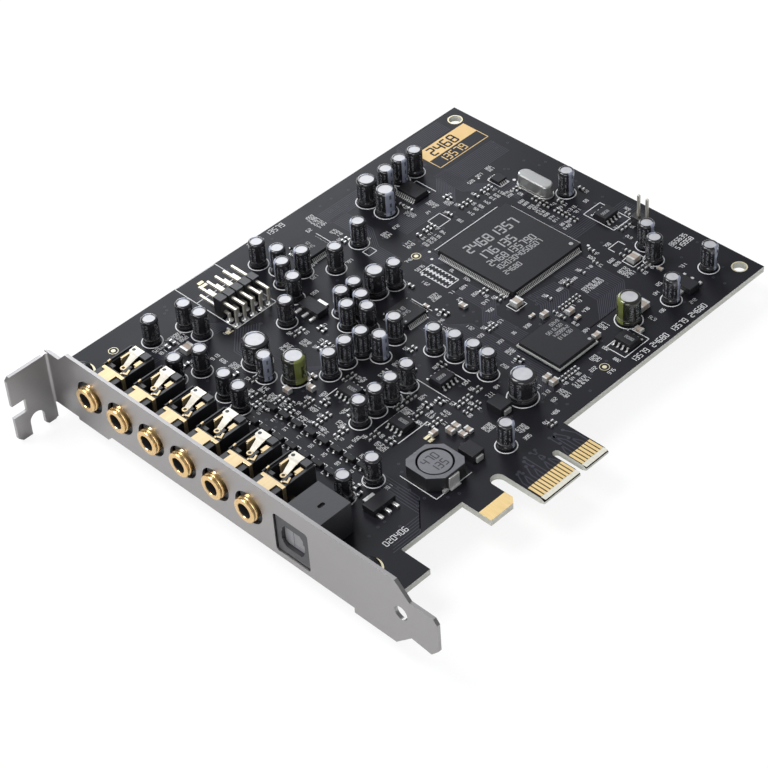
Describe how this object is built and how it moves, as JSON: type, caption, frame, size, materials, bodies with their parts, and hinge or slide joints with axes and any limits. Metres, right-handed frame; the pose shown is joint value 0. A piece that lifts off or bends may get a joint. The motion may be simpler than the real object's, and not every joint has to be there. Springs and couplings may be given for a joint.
{
  "type": "sound card",
  "caption": "Full-height computer sound card: black circuit board with a short edge connector, steel slot bracket, a row of round audio jacks and a square optical port",
  "frame": {"origin": "centre of the key notch at the bottom edge of the contacts, on the component face of the board", "axes": "+X runs from the bracket to the far end, -Y points into the slot, +Z is the component side"},
  "size_m": [0.1478, 0.124, 0.0226],
  "materials": {
    "solder_mask": "satin black mask over fibreglass",
    "gold": "thin gold plating",
    "steel": "zinc-plated sheet",
    "black_screw": "black oxide",
    "black_plastic": "moulded",
    "grey_plastic": "moulded",
    "chip_black": "moulded resin",
    "tin": "bright tin",
    "substrate": "laminate",
    "sleeve": "printed sleeve",
    "green_sleeve": "printed sleeve",
    "ferrite": "sintered",
    "can_metal": "pressed can",
    "ceramic": "glazed ceramic",
    "red_glow": "tinted lens"
  },
  "bodies": {
    "card": {"circuit_board": "solder_mask", "edge_contacts_front": "gold", "edge_contacts_back": "gold", "hook_tab_plating": "gold", "io_bracket": "steel", "bracket_screws": "black_screw", "jack_housings": "black_plastic", "jack_bushings": "gold", "jack_ground_plates": "gold", "jack_tip_springs": "gold", "jack_side_contacts": "gold", "jack_legs": "tin", "optical_port_housing": "black_plastic", "optical_light_source": "red_glow", "optical_port_pins": "tin", "audio_processor": "chip_black", "audio_processor_leads": "tin", "bus_bridge_base": "substrate", "bus_bridge_cap": "chip_black", "converter_chips": "chip_black", "converter_leads": "tin", "amplifier_chips": "chip_black", "amplifier_leads": "tin", "memory_chip": "chip_black", "memory_chip_leads": "tin", "two_row_chip": "chip_black", "two_row_chip_leads": "tin", "regulators": "chip_black", "regulator_leads": "tin", "power_diodes": "chip_black", "power_diode_leads": "tin", "inductor_shield": "ferrite", "inductor_core": "ferrite", "inductor_terminals": "tin", "crystal_base": "can_metal", "crystal_can": "can_metal", "pin_header_base": "black_plastic", "pin_header_pins": "gold", "jumper_base": "black_plastic", "jumper_pins": "gold", "capacitors_small": "sleeve", "capacitors_medium": "sleeve", "capacitors_green_stripe": "green_sleeve", "capacitors_large": "sleeve", "ceramic_capacitors": "ceramic", "mute_transistors": "chip_black"},
    "shutter": {"optical_port_flap": "grey_plastic", "optical_port_spring": "tin"}
  },
  "joints": [
    {"name": "shutter_hinge", "type": "hinge", "parent": "card", "child": "shutter", "pos_m": [-0.056, 0.0284, 0.00695], "axis": [0, -1, 0], "range_deg": [0, 86], "stiffness_Nm_per_rad": 0.0002, "springref_deg": -11.46}
  ]
}
